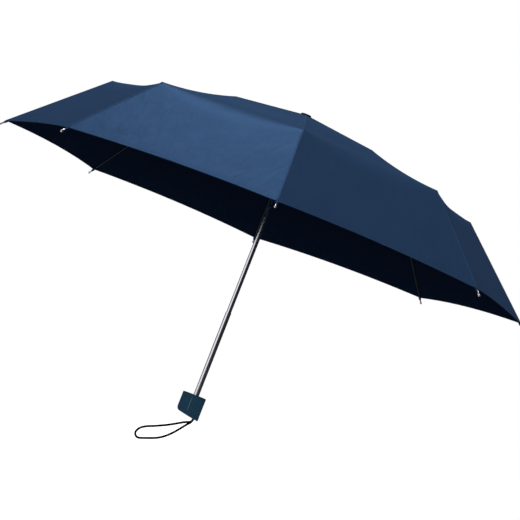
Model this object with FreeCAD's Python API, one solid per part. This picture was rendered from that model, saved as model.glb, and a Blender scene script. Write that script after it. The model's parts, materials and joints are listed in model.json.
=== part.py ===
"""Three-section folding umbrella with eight ribs, modelled open.

Every piece is built about the shaft: X and Y across it, Z up it, zero on the shaft's axis at the
level of the handle's top. write() then moves it to the row's origin, the middle of the grip.
A rib's members are built in a frame of their own: u along the member, w across it, v towards the
cloth. A slope is an angle below the horizontal, so a positive slope points outwards and down.
"""
import FreeCAD, Part
import json
import math
import os

V = FreeCAD.Vector

# ---------------------------------------------------------------- driving sizes, in millimetres
# handle and shaft
grip_radius = 21.5
grip_left_height = 33.3      # short side of the grip, under its -X wall
grip_right_height = 41.3     # long side of the grip, under its +X wall
grip_corner = 7.0            # rounding of the short side's lower edge
grip_edge = 0.8              # rounding of the grip's other edges
grip_mid_drop = 17.0         # from the grip's top down to the middle of its straight wall
shaft_offset = 2.5           # shaft axis from the grip's own axis, towards +X
socket_depth = 30.0          # how far the lower tube is set into the grip
socket_neck = 0.3            # the lower tube is necked by this inside the grip, and stands on its top
cross_pin_radius = 1.0
cross_pin_rise = 4.0         # above the lower tube's foot
cross_pin_reach = 8.0        # from the shaft's axis to each end
bottom_tube_radius = 5.0
middle_tube_radius = 4.3
top_tube_radius = 3.6
tube_clearance = 0.05        # radial, between sliding tubes
crown_bore_clearance = 0.02
top_tube_wall = 0.5
bottom_visible = 157.0
middle_visible = 181.0
top_visible = 189.5          # from the middle tube's top to the notch pivots
tube_overlap = 18.0
lower_travel = 158.0
upper_travel = 152.5
tube_bead = 0.08             # rolled bead at a tube's open end, stands proud by this
tube_bead_height = 2.4

# spring catches
detent_button_radius = 1.3
detent_proud = 0.05          # button beyond the outer tube
detent_clearance = 0.08
leaf_thickness = 0.35
leaf_width = 2.6
leaf_length = 22.0
catch_width = 2.4
catch_height = 7.0
catch_nose = 2.1             # height of the catch's blunt front
catch_proud = 2.3            # catch beyond the top tube
catch_gap = 0.3              # between the catch and the runner that rests on it

# rib frame
rib_count = 8
pivot_radius = 8.95          # notch and runner pivots from the shaft's axis
inner_length = 169.5
middle_length = 170.0
outer_length = 200.0         # from the outer pivot to the wire's end
arm_length = 75.0            # notch to stretcher pivot, and stretcher pivot to runner
inner_slope = 10.6
middle_slope = 12.0
outer_slope = 42.0
inner_slope_folded = 87.5
middle_slope_folded = -90.0
outer_slope_folded = 86.5      # the outer ribs lean out, to clear the bowed middle ribs
ring_wire = 0.5              # radius of the binding rings
pin_radius = 0.6
pin_clearance = 0.05
head_radius = 1.1
head_height = 0.25
head_gap = 0.05
inner_width = 3.0
inner_height = 3.0
inner_wall = 0.4
elbow_rise = 2.5             # inner elbow pivot above both channels' centre lines
ear_radius = 1.1
middle_width = 2.0
middle_height = 2.6
middle_wall = 0.35
middle_end = 0.6             # how far a middle rib's trough runs past its pivots
middle_bow = 3.5             # how far the pull of the cloth bends a middle rib's middle down
knee_drop = 1.6              # outer elbow pivot below the middle rib's centre line
knee_rise = 1.2              # outer rib's centre line above that pivot
side_gap = 0.2               # between a channel and the ears that straddle it
ear_wall = 0.4
outer_wire = 1.0
clevis_reach = 4.2           # outer elbow pivot to the clevis's bridge
bridge_length = 3.4
stretcher_height = 2.6
web_start = 10.0             # stretcher pivot to its web
web_end = 4.0                # web to the runner pivot
link_radius = 0.4            # half the thickness of a push wire's eyes
link_wire = 0.36             # radius of a push wire
link_root = 0.3              # how far a push wire runs into its eyes
link_gap = 0.1
eye_wall = 0.55
inner_crank = 5.0            # stretcher pivot to the inner push wire
inner_crank_angle = -10.0    # degrees from the stretcher's line
middle_crank = 4.57          # inner elbow to the inner push wire
heel_crank = 4.0             # inner elbow to the outer push wire
heel_angle = -92.0           # degrees from the inner rib's line
toe_crank = 5.3              # outer elbow to the outer push wire
toe_angle = -75.6            # degrees from the outer rib's line
tip_radius = 1.4
tip_length = 15.0
tip_ball = 1.9
tip_socket = 5.0             # how far the wire goes into its tip
tip_wire_clearance = 0.02

# crown, runner and cap
crown_radius = 12.0
crown_half_height = 3.5
crown_roof = 1.0
hub_radius = 6.5
slot_gap = 0.2               # each side of a rib in the crown, or a stretcher in the runner
runner_bore_clearance = 0.3
runner_wall = 1.3
runner_collar_radius = 12.0
runner_floor = 1.4
runner_slot_below = 2.2      # slot floor below the runner pivots
runner_above = 3.0
runner_length = 25.0         # from the runner pivots to the foot of its sleeve
runner_foot_radius = 8.6
runner_foot_height = 3.0
cap_radius = 9.6
cap_height = 3.6
cap_edge = 1.4
cap_stud_radius = 3.0
cap_stud_length = 12.0

# cloth
cloth_thickness = 0.45       # measured vertically
cloth_gap = 0.3
cloth_hem_setback = 2.0      # hem corner from the outer wire's end
cloth_scallop = 8.0

# wrist strap
strap_diameter = 3.9
strap_hole_clearance = 0.25
strap_corner_share = 0.45    # of its shorter run that each bend takes up
# Centre line, each point from the grip's own axis at the level of its top
strap_route = [
    (13.0, -2.64, -36.6), (13.0, -2.64, -43.6), (9.4, -2.64, -47.2), (0.5, -2.3, -50.6),
    (-11.5, -1.72, -58.0), (-25.0, -0.57, -66.0), (-45.0, 0.0, -75.8), (-61.0, 0.57, -82.5),
    (-70.5, 0.57, -89.5), (-74.5, 0.57, -99.5), (-68.0, 0.57, -107.0), (-56.0, 0.57, -102.8),
    (-36.0, 0.57, -95.2), (-23.0, 1.15, -87.2), (-10.0, 1.72, -74.2), (-1.0, 2.3, -62.5),
    (6.0, 2.64, -53.2), (10.8, 2.64, -48.2), (13.0, 2.64, -43.6), (13.0, 2.64, -36.6),
]

# ---------------------------------------------------------------- worked-out places
notch_z = bottom_visible + middle_visible + top_visible
fold_angle = inner_slope_folded - inner_slope
middle_tube_bore = top_tube_radius + tube_clearance
bottom_tube_bore = middle_tube_radius + tube_clearance
runner_bore = bottom_tube_radius + runner_bore_clearance
neck_radius = bottom_tube_radius - socket_neck
stretcher_inside = inner_width / 2 + side_gap
stretcher_outside = stretcher_inside + ear_wall
clevis_inside = middle_width / 2 + side_gap
clevis_outside = clevis_inside + ear_wall
link_plane = stretcher_outside + head_gap + head_height + link_gap + link_radius
link_outside = link_plane + link_radius
pin_end = link_outside + link_gap
cut_over = 1.0               # how far a cutting shape runs past the faces that it opens


def sagitta(half_width, radius):
    """How far a ring of this radius bows out of line over a member of this half width."""
    return half_width ** 2 / (2 * radius)


inner_bow = sagitta(inner_width / 2, pivot_radius)
stretcher_bow = sagitta(stretcher_outside, pivot_radius)
crown_ring_radius = pivot_radius + inner_bow / 2
runner_ring_radius = pivot_radius + stretcher_bow / 2


# ---------------------------------------------------------------- plane geometry of one rib
def along(start, slope, u, v=0.0):
    """The point (radius, height) at u along a member that starts at start, and v above it."""
    s = math.radians(slope)
    return (start[0] + u * math.cos(s) + v * math.sin(s),
            start[1] - u * math.sin(s) + v * math.cos(s))


def slopes(fold):
    """Slopes of the inner, middle and outer ribs when the frame has folded by this many degrees."""
    share = fold / fold_angle
    return (inner_slope + fold,
            middle_slope + share * (middle_slope_folded - middle_slope),
            outer_slope + share * (outer_slope_folded - outer_slope))


def rib_points(fold=0.0):
    """Pivots of one rib, as (radius, height above the notch pivots)."""
    inner, middle, outer = slopes(fold)
    notch = (pivot_radius, 0.0)
    prop = along(notch, inner, arm_length)
    elbow = along(notch, inner, inner_length, elbow_rise)
    middle_start = along(elbow, middle, 0, -elbow_rise)
    knee = along(middle_start, middle, middle_length, -knee_drop)
    outer_start = along(knee, outer, 0, knee_rise)
    return {
        "notch": notch,
        "prop": prop,
        "runner": along(prop, -inner, -arm_length),
        "elbow": elbow,
        "middle_start": middle_start,
        "knee": knee,
        "outer_start": outer_start,
        "tip": along(outer_start, outer, outer_length),
        "inner_pull": along(prop, -inner - inner_crank_angle, inner_crank),
        "middle_pull": along(elbow, middle, middle_crank),
        "heel": along(elbow, inner - heel_angle, heel_crank),
        "toe": along(knee, outer - toe_angle, toe_crank),
    }


def seen_from(start, slope, point):
    """A point as (u, v) in the frame of a member that starts at start."""
    s = math.radians(slope)
    x, z = point[0] - start[0], point[1] - start[1]
    return x * math.cos(s) - z * math.sin(s), x * math.sin(s) + z * math.cos(s)


def push_wire(start_name, end_name, carrier):
    """Length, slope at rest, turn against the carrying rib, and the play of a push wire's far eye."""
    steps = 24
    pulls = []
    for i in range(steps + 1):
        fold = fold_angle * i / steps
        p = rib_points(fold)
        pulls.append(seen_from(p[start_name], slopes(fold)[carrier], p[end_name]))
    turns = [math.degrees(math.atan2(v, u)) for u, v in pulls]
    turn = (turns[-1] - turns[0]) if carrier == 1 else 0.0
    level = []
    for i, (u, v) in enumerate(pulls):
        back = math.radians(turn * i / steps)
        level.append((u * math.cos(back) + v * math.sin(back), v * math.cos(back) - u * math.sin(back)))
    mean_u = (max(u for u, v in level) + min(u for u, v in level)) / 2
    mean_v = (max(v for u, v in level) + min(v for u, v in level)) / 2
    play = max(math.hypot(u - mean_u, v - mean_v) for u, v in level)
    slope = slopes(0)[carrier] - math.degrees(math.atan2(mean_v, mean_u))
    return math.hypot(mean_u, mean_v), slope, turn, play


rest = rib_points()
inner_link_length, inner_link_slope, _, inner_link_play = push_wire("inner_pull", "middle_pull", 0)
outer_link_length, outer_link_slope, outer_link_turn, outer_link_play = push_wire("heel", "toe", 1)
runner_drop = -rest["runner"][1]
foot_angle = math.degrees(math.atan2(grip_right_height - grip_left_height, 2 * grip_radius))


# ---------------------------------------------------------------- shape helpers
def block(u0, u1, w0, w1, v0, v1):
    return Part.makeBox(u1 - u0, w1 - w0, v1 - v0, V(u0, w0, v0))


def pin(point, radius, w0, w1):
    """A round bar across a member at (u, v), from w0 to w1."""
    return Part.makeCylinder(radius, w1 - w0, V(point[0], w0, point[1]), V(0, 1, 0))


def plate(start, end, radius, w0, w1):
    """A flat bar with round ends, between two points (u, v) of a member."""
    length = math.hypot(end[0] - start[0], end[1] - start[1])
    bar = Part.makeBox(length, w1 - w0, 2 * radius, V(0, w0, -radius))
    bar.rotate(V(0, 0, 0), V(0, 1, 0), -math.degrees(math.atan2(end[1] - start[1], end[0] - start[0])))
    bar.translate(V(start[0], 0, start[1]))
    return bar.fuse([pin(start, radius, w0, w1), pin(end, radius, w0, w1)])


def mirrored(make, w0, w1):
    """The same piece on both sides of a member."""
    return [make(w0, w1), make(-w1, -w0)]


def channel(u0, u1, width, height, wall):
    """A thin trough, closed towards the cloth."""
    body = block(u0, u1, -width / 2, width / 2, -height / 2, height / 2)
    return body.cut(block(u0 - cut_over, u1 + cut_over, wall - width / 2, width / 2 - wall,
                          -height, height / 2 - wall))


def bent_channel(u0, u1, width, height, wall, bow):
    """A trough as above, bent so that its middle lies lower than its ends."""
    radius = ((u1 - u0) ** 2 / 4 + bow ** 2) / (2 * bow)
    centre = ((u0 + u1) / 2, radius - bow)
    side = width / 2
    body = pin(centre, radius + height / 2, -side, side)
    body = body.cut(pin(centre, radius - height / 2, -side - cut_over, side + cut_over))
    body = body.common(block(u0, u1, -side, side, -bow - height, height))
    hollow = pin(centre, radius + height, wall - side, side - wall)
    return body.cut(hollow.cut(pin(centre, radius - height / 2 + wall, -side, side)))


def rivet(point, grip):
    """A pin that clamps ears whose outer faces are at +-grip."""
    head = grip + head_gap
    return pin(point, pin_radius, -head, head).fuse([
        pin(point, head_radius, head, head + head_height),
        pin(point, head_radius, -head - head_height, -head)])


def headed_pin(point, w0, side, play):
    """A pin that stands out of an ear at w0, to the given side, with a head that keeps the wire on."""
    reach = [w0, pin_end]
    head = [pin_end, pin_end + head_height]
    if side < 0:
        reach = [-pin_end, -w0]
        head = [-pin_end - head_height, -pin_end]
    head_size = pin_radius + play + pin_clearance + eye_wall * 0.6
    return pin(point, pin_radius, *reach).fuse(pin(point, head_size, *head))


def on_member(shape, start, slope):
    """Moves a member from its own frame to its place in the rib's plane, above the notch level."""
    shape.rotate(V(0, 0, 0), V(0, 1, 0), slope)
    shape.translate(V(start[0], 0, notch_z + start[1]))
    return shape


def around(shape, index):
    """Turns a rib's piece about the shaft to its own place. Rib 1 points to -Y, the front."""
    turned = shape.copy()
    turned.rotate(V(0, 0, 0), V(0, 0, 1), rib_azimuth(index))
    return turned


def rib_azimuth(index):
    return -90.0 + 360.0 * index / rib_count


def ring(radius, z):
    return Part.makeTorus(radius, ring_wire, V(0, 0, z), V(0, 0, 1))


def bore(radius, z0, z1):
    """A cutter for a hole along the shaft's axis, open at both heights."""
    return Part.makeCylinder(radius, z1 - z0 + 2 * cut_over, V(0, 0, z0 - cut_over))


def tube(outer, inner, z0, z1):
    return Part.makeCylinder(outer, z1 - z0, V(0, 0, z0)).cut(bore(inner, z0, z1))


written = []


def write(name, *solids):
    """Writes one node, moved to the row's origin."""
    shape = solids[0] if len(solids) == 1 else Part.makeCompound(list(solids))
    shape = shape.copy()
    shape.translate(V(shaft_offset, 0, grip_mid_drop))
    if not shape.isValid() or any(s.Volume <= 0 for s in shape.Solids):
        print("NOT VALID", name)
    shape.exportStep("parts/" + name + ".step")
    written.append((name, len(shape.Solids), sum(s.Volume for s in shape.Solids)))


# ---------------------------------------------------------------- rib members, each in its own frame
def inner_rib():
    """Trough with an eye for the crown's ring, ears at the elbow and a heel for the outer push wire."""
    half = inner_width / 2
    elbow = (inner_length, elbow_rise)
    sweep = math.hypot(middle_height / 2 + elbow_rise, middle_end) + side_gap
    start = -inner_height / 2
    body = channel(start, inner_length - sweep, inner_width, inner_height, inner_wall)
    root = (inner_length - sweep, 0)
    ears = mirrored(lambda a, b: plate(root, elbow, ear_radius, a, b), half - inner_wall, half)
    heel = (elbow[0] + heel_crank * math.cos(math.radians(heel_angle)),
            elbow[1] + heel_crank * math.sin(math.radians(heel_angle)))
    heel_arm = plate(elbow, heel, ear_radius, -half, inner_wall - half)
    heel_pin = headed_pin(heel, half, -1, 0)
    shape = body.fuse(ears + [heel_arm, heel_pin]).removeSplitter()
    eye = ring_wire + inner_bow / 2 + pin_clearance
    side = half + cut_over
    holes = [pin((0, 0), eye, -side, side), pin((arm_length, 0), pin_radius, -side, side),
             pin(elbow, pin_radius, -side, side)]
    shape = shape.cut(holes)
    prop_rivet = rivet((arm_length, 0), stretcher_outside)
    elbow_rivet = rivet(elbow, half)
    return [on_member(s, rest["notch"], inner_slope) for s in (shape, prop_rivet, elbow_rivet)]


def stretcher():
    """Two side strips that straddle the inner rib, with a web between them towards the cloth."""
    a, b = stretcher_inside, stretcher_outside
    top = stretcher_height / 2
    runner_end = (-arm_length, 0)
    sides = mirrored(lambda w0, w1: plate((0, 0), runner_end, top, w0, w1), a, b)
    web = block(web_end - arm_length, -web_start, -b, b, top - ear_wall, top)
    pull = (inner_crank * math.cos(math.radians(inner_crank_angle)),
            inner_crank * math.sin(math.radians(inner_crank_angle)))
    pull_arm = plate((0, 0), pull, ear_radius, a, b)
    pull_pin = headed_pin(pull, b, 1, 0)
    shape = web.fuse(sides + [pull_arm, pull_pin]).removeSplitter()
    eye = ring_wire + stretcher_bow / 2 + pin_clearance
    side = b + cut_over
    shape = shape.cut([pin(runner_end, eye, -side, side),
                       pin((0, 0), pin_radius + pin_clearance, -side, side)])
    return on_member(shape, rest["prop"], -inner_slope)


def middle_rib():
    """Narrow trough that carries the inner push wire's pin at one end and the outer rib at the other."""
    half = middle_width / 2
    elbow = (0, elbow_rise)
    knee = (middle_length, -knee_drop)
    body = bent_channel(-middle_end, middle_length + middle_end, middle_width, middle_height,
                        middle_wall, middle_bow)
    pull = (middle_crank, elbow_rise)
    root = (ear_radius, 0)
    tabs = mirrored(lambda a, b: plate(elbow, root, ear_radius, a, b), half - middle_wall, half)
    pull_arm = plate(elbow, pull, ear_radius, half - middle_wall, half)
    pull_pin = headed_pin(pull, half, 1, inner_link_play)
    knee_root = (middle_length - ear_radius, 0)
    knee_tabs = mirrored(lambda a, b: plate(knee_root, knee, ear_radius, a, b), half - middle_wall, half)
    shape = body.fuse(tabs + knee_tabs + [pull_arm, pull_pin]).removeSplitter()
    side = half + cut_over
    shape = shape.cut([pin(elbow, pin_radius + pin_clearance, -side, side),
                       pin(knee, pin_radius, -side, side)])
    knee_rivet = rivet(knee, clevis_outside)
    return [on_member(s, rest["middle_start"], middle_slope) for s in (shape, knee_rivet)]


def outer_rib():
    """Round wire in a clevis, with a toe for the outer push wire and a ball tip at the hem."""
    a, b = clevis_inside, clevis_outside
    knee = (0, -knee_rise)
    bridge = block(clevis_reach, clevis_reach + bridge_length, -b, b, -ear_radius, ear_radius)
    ears = mirrored(lambda w0, w1: plate(knee, (clevis_reach, 0), ear_radius, w0, w1), a, b)
    toe = (knee[0] + toe_crank * math.cos(math.radians(toe_angle)),
           knee[1] + toe_crank * math.sin(math.radians(toe_angle)))
    toe_arm = plate(knee, toe, ear_radius, -b, -a)
    toe_pin = headed_pin(toe, b, -1, outer_link_play)
    root = clevis_reach + bridge_length / 3
    wire = Part.makeCylinder(outer_wire, outer_length - root, V(root, 0, 0), V(1, 0, 0))
    shape = bridge.fuse(ears + [toe_arm, toe_pin, wire]).removeSplitter()
    shape = shape.cut(pin(knee, pin_radius + pin_clearance, -b - cut_over, b + cut_over))
    tip_start = outer_length - tip_socket
    tip = Part.makeCylinder(tip_radius, tip_length, V(tip_start, 0, 0), V(1, 0, 0))
    tip = tip.fuse(Part.makeSphere(tip_ball, V(tip_start + tip_length, 0, 0)))
    tip = tip.cut(Part.makeCylinder(outer_wire + tip_wire_clearance, tip_socket + cut_over,
                                    V(tip_start - cut_over, 0, 0), V(1, 0, 0)))
    return [on_member(s, rest["outer_start"], outer_slope) for s in (shape, tip)]


def link(length, side, play):
    """A push wire with a close eye at its start and an easier eye, with play, at its far end."""
    w0, w1 = sorted((side * (link_plane - link_radius), side * link_outside))
    close = pin_radius + pin_clearance
    easy = close + play
    start = close + eye_wall - link_root
    end = length - easy - eye_wall + link_root
    wire = Part.makeCylinder(link_wire, end - start, V(start, side * link_plane, 0), V(1, 0, 0))
    eyes = [pin((0, 0), close + eye_wall, w0, w1), pin((length, 0), easy + eye_wall, w0, w1)]
    shape = wire.fuse(eyes).removeSplitter()
    w0, w1 = w0 - cut_over, w1 + cut_over
    return shape.cut([pin((0, 0), close, w0, w1), pin((length, 0), easy, w0, w1)])


def make_ribs():
    inner = inner_rib()
    prop = stretcher()
    middle = middle_rib()
    outer = outer_rib()
    inner_link = link(inner_link_length, 1, inner_link_play)
    outer_link = link(outer_link_length, -1, outer_link_play)
    inner_link = on_member(inner_link, rest["inner_pull"], inner_link_slope)
    outer_link = on_member(outer_link, rest["heel"], outer_link_slope)
    for i in range(rib_count):
        name = str(i + 1)
        write("inner_rib_" + name, *[around(s, i) for s in inner])
        write("stretcher_" + name, around(prop, i))
        write("middle_rib_" + name, *[around(s, i) for s in middle])
        write("outer_rib_" + name, *[around(s, i) for s in outer])
        write("inner_link_" + name, around(inner_link, i))
        write("outer_link_" + name, around(outer_link, i))


# ---------------------------------------------------------------- crown, runner and cap
def radial_slots(half_width, r0, r1, z0, z1):
    slot = Part.makeBox(r1 - r0, 2 * half_width, z1 - z0, V(r0, -half_width, z0))
    return [around(slot, i) for i in range(rib_count)]


def crown():
    """The notch: a slotted disc on the top tube, with a wire ring through all the inner ribs."""
    low, high = notch_z - crown_half_height, notch_z + crown_half_height
    body = Part.makeCylinder(crown_radius, high - low, V(0, 0, low))
    slots = radial_slots(inner_width / 2 + slot_gap, hub_radius, crown_radius + cut_over,
                         low - cut_over, high - crown_roof)
    wire = ring(crown_ring_radius, notch_z)
    body = body.cut([bore(top_tube_radius + crown_bore_clearance, low, high)] + slots + [wire])
    write("crown", body, wire)


def runner():
    """The slider that the stretchers push on, with a finger flange at its foot."""
    z = notch_z - runner_drop
    collar_low = z - runner_slot_below - runner_floor
    foot_z = z - runner_length
    top_z = z + runner_above
    sleeve_radius = runner_bore + runner_wall
    body = Part.makeCylinder(runner_collar_radius, top_z - collar_low, V(0, 0, collar_low))
    body = body.cut(radial_slots(stretcher_outside + slot_gap, max(hub_radius, sleeve_radius),
                                 runner_collar_radius + cut_over, z - runner_slot_below, top_z + cut_over))
    sleeve = Part.makeCylinder(sleeve_radius, top_z - foot_z, V(0, 0, foot_z))
    foot = Part.makeCylinder(runner_foot_radius, runner_foot_height, V(0, 0, foot_z))
    wire = ring(runner_ring_radius, z)
    body = body.fuse([sleeve, foot]).removeSplitter().cut([bore(runner_bore, foot_z, top_z), wire])
    write("runner", body, wire)


cloth_z = notch_z + crown_half_height + cloth_gap
cap_z = cloth_z + cloth_thickness + cloth_gap


def top_cap():
    """Flat button over the cloth, on a stud that goes down into the top tube."""
    button = Part.makeCylinder(cap_radius, cap_height, V(0, 0, cap_z))
    rim = [e for e in button.Edges if e.BoundBox.ZMin > cap_z + cap_height / 2]
    button = button.makeFillet(cap_edge, rim)
    stud = Part.makeCylinder(cap_stud_radius, cap_stud_length, V(0, 0, cap_z - cap_stud_length))
    write("top_cap", button.fuse(stud))


# ---------------------------------------------------------------- shaft and its springs
lower_joint_z = bottom_visible
upper_joint_z = bottom_visible + middle_visible
lower_detent_z = lower_joint_z - tube_overlap / 2
upper_detent_z = upper_joint_z - tube_overlap / 2
catch_top_z = notch_z - runner_drop - runner_length - catch_gap


def bead(radius, z):
    """A rolled edge at a tube's open end."""
    return Part.makeCylinder(radius + tube_bead, tube_bead_height, V(0, 0, z - tube_bead_height))


def front_hole(radius, reach, z):
    return Part.makeCylinder(radius, reach + cut_over, V(0, 0, z), V(0, -1, 0))


def cross_pin():
    """The pin that locks the lower tube's foot in the grip."""
    z = cross_pin_rise - socket_depth
    return Part.makeCylinder(cross_pin_radius, 2 * cross_pin_reach, V(0, -cross_pin_reach, z), V(0, 1, 0))


def shaft():
    hole = detent_button_radius + detent_clearance
    bottom = Part.makeCylinder(bottom_tube_radius, bottom_visible)
    neck = Part.makeCylinder(neck_radius, socket_depth, V(0, 0, -socket_depth))
    bottom = bottom.fuse([neck, bead(bottom_tube_radius, lower_joint_z)])
    bottom = bottom.cut([bore(bottom_tube_bore, -socket_depth, lower_joint_z),
                         front_hole(hole, bottom_tube_radius, lower_detent_z), cross_pin()])
    write("bottom_tube", bottom, cross_pin())
    middle_foot = lower_joint_z - tube_overlap
    middle = Part.makeCylinder(middle_tube_radius, upper_joint_z - middle_foot, V(0, 0, middle_foot))
    middle = middle.fuse(bead(middle_tube_radius, upper_joint_z))
    middle = middle.cut([bore(middle_tube_bore, middle_foot, upper_joint_z),
                         front_hole(hole, middle_tube_radius, lower_detent_z),
                         front_hole(hole, middle_tube_radius, upper_detent_z)])
    write("middle_tube", middle)
    top = tube(top_tube_radius, top_tube_radius - top_tube_wall, upper_joint_z - tube_overlap,
               notch_z + crown_half_height)
    reach = top_tube_radius + cut_over
    window = Part.makeBox(catch_width + 2 * detent_clearance, reach, catch_height + 2 * detent_clearance,
                          V(-catch_width / 2 - detent_clearance, -reach,
                            catch_top_z - catch_height - detent_clearance))
    top = top.cut([front_hole(hole, top_tube_radius, upper_detent_z), window])
    write("top_tube", top)


def detent(name, inside, outside, z):
    """A leaf spring inside a tube, with a button that stands through both walls of a tube joint."""
    face = math.sqrt(inside ** 2 - (leaf_width / 2) ** 2) - detent_clearance
    leaf = Part.makeBox(leaf_width, leaf_thickness, leaf_length,
                        V(-leaf_width / 2, -face, z + detent_button_radius - leaf_length))
    button = Part.makeCylinder(detent_button_radius, outside + detent_proud - face + leaf_thickness,
                               V(0, leaf_thickness - face, z), V(0, -1, 0))
    rounded_end = bore(outside + detent_proud, z - detent_button_radius, z + detent_button_radius)
    write(name, leaf.fuse(button.common(rounded_end)))


def runner_catch():
    """The sprung wedge that holds the runner up while the umbrella is open."""
    inside = top_tube_radius - top_tube_wall
    face = math.sqrt(inside ** 2 - (leaf_width / 2) ** 2) - detent_clearance
    leaf = Part.makeBox(leaf_width, leaf_thickness, leaf_length,
                        V(-leaf_width / 2, -face, catch_top_z - leaf_length))
    reach = top_tube_radius + catch_proud
    wedge = Part.makePolygon([V(-catch_width / 2, leaf_thickness - face, catch_top_z),
                              V(-catch_width / 2, -reach, catch_top_z),
                              V(-catch_width / 2, -reach, catch_top_z - catch_nose),
                              V(-catch_width / 2, leaf_thickness - face, catch_top_z - catch_height),
                              V(-catch_width / 2, leaf_thickness - face, catch_top_z)])
    wedge = Part.Face(wedge).extrude(V(catch_width, 0, 0))
    write("runner_catch", leaf.fuse(wedge))


# ---------------------------------------------------------------- handle and strap
def grip_profile():
    """The grip's side view, from its own axis: slanted foot, short side's lower edge rounded."""
    r = grip_radius
    run = math.hypot(2 * r, grip_right_height - grip_left_height)
    across = V(2 * r, 0, grip_left_height - grip_right_height) * (1 / run)
    corner = V(-r, 0, -grip_left_height)
    centre_gap = grip_corner * math.tan(math.radians(90 - foot_angle) / 2)
    start = corner + V(0, 0, centre_gap)
    end = corner + across * centre_gap
    centre = start + V(grip_corner, 0, 0)
    middle = centre + (corner - centre).normalize() * grip_corner
    heel = V(r, 0, -grip_right_height)
    outline = [(V(-r, 0, 0), V(r, 0, 0)), (V(r, 0, 0), heel), (heel, end)]
    edges = [Part.LineSegment(a, b).toShape() for a, b in outline]
    edges += [Part.Arc(end, middle, start).toShape(), Part.LineSegment(start, V(-r, 0, 0)).toShape()]
    return Part.Face(Part.Wire(edges))


def handle():
    """Short round grip with a slanted foot, moulded round the lower tube and the strap's ends."""
    profile = grip_profile()
    profile.translate(V(0, -grip_radius, 0))
    body = profile.extrude(V(0, 2 * grip_radius, 0))
    body = body.common(Part.makeCylinder(grip_radius, grip_right_height, V(0, 0, -grip_right_height)))
    top_edges = [e for e in body.Edges if e.BoundBox.ZMin > -grip_edge / 2]
    body = body.makeFillet(grip_edge, top_edges)
    body.translate(V(-shaft_offset, 0, 0))
    socket = Part.makeCylinder(neck_radius, socket_depth, V(0, 0, -socket_depth))
    holes = []
    for x, y, z in (strap_route[0], strap_route[-1]):
        holes.append(Part.makeCylinder(strap_diameter / 2 + strap_hole_clearance, z + grip_right_height,
                                       V(x - shaft_offset, y, -grip_right_height)))
    body = body.cut([socket, cross_pin()] + holes)
    write("handle_shell", body)


def cord_path(points):
    """Straight runs joined by tangent arcs, each as large as its two runs allow."""
    edges, radii, at = [], [], points[0]
    for before, corner, after in zip(points, points[1:], points[2:]):
        run_in, run_out = corner - before, after - corner
        half_turn = run_in.getAngle(run_out) / 2
        reach = strap_corner_share * min(run_in.Length, run_out.Length)
        radius = reach / math.tan(half_turn)
        start = corner - run_in.normalize() * reach
        end = corner + run_out.normalize() * reach
        to_centre = (start + end) * 0.5 - corner
        centre_gap = radius / math.cos(half_turn) - radius
        middle = corner + to_centre.normalize() * centre_gap
        edges.append(Part.LineSegment(at, start).toShape())
        edges.append(Part.Arc(start, middle, end).toShape())
        radii.append(radius)
        at = end
    edges.append(Part.LineSegment(at, points[-1]).toShape())
    return Part.Wire(edges), radii


def strap():
    points = [V(x - shaft_offset, y, z) for x, y, z in strap_route]
    path, radii = cord_path(points)
    section = Part.Wire(Part.makeCircle(strap_diameter / 2, points[0], points[1] - points[0]))
    solid = path.makePipeShell([section], True, False, 2)
    area = math.pi * strap_diameter ** 2 / 4
    print("strap length %.1f, volume share %.4f" % (path.Length, solid.Volume / area / path.Length))
    print("strap radii", " ".join("%.1f" % r for r in radii))
    write("wrist_strap", solid)


# ---------------------------------------------------------------- cloth
def cloth_rings():
    """Corners of the cloth's outer face over a rib, as (radius, height), from the crown to the hem."""
    half_gore = math.pi / rib_count
    pull_eye = pin_radius + pin_clearance + 2 * inner_link_play + eye_wall
    gore_fall = (pin_end + head_height) * math.tan(half_gore) * math.tan(math.radians(middle_slope))
    end_corner = middle_end + middle_width / 2 * math.tan(half_gore)
    knee_fall = end_corner * math.tan(math.radians(outer_slope - middle_slope))
    top = ((crown_radius + cloth_gap) / math.cos(half_gore), cloth_z - notch_z)
    elbow = along(rest["elbow"], middle_slope, 0, pull_eye + gore_fall + cloth_gap)
    knee = along(rest["middle_start"], middle_slope, middle_length,
                 middle_height / 2 + knee_fall + cloth_gap)
    hem = along(rest["outer_start"], outer_slope, outer_length - cloth_hem_setback, tip_radius + cloth_gap)
    return [(r, notch_z + z + cloth_thickness) for r, z in (top, elbow, knee, hem)]


def cloth_solid(lift):
    """Closed solid between the crown and the hem, with eight flat gores in three bands."""
    rings = [[V(r * math.cos(a), r * math.sin(a), z + lift)
              for a in [math.radians(rib_azimuth(i)) for i in range(rib_count)]]
             for r, z in cloth_rings()]
    faces = [Part.Face(Part.makePolygon(rings[0] + rings[0][:1])),
             Part.Face(Part.makePolygon(rings[-1] + rings[-1][:1]))]
    for high, low in zip(rings, rings[1:]):
        for i in range(rib_count):
            j = (i + 1) % rib_count
            faces.append(Part.Face(Part.makePolygon([high[i], low[i], low[j], high[j], high[i]])))
    solid = Part.makeSolid(Part.makeShell(faces))
    if solid.Volume < 0:
        solid.reverse()
    return solid


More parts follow.
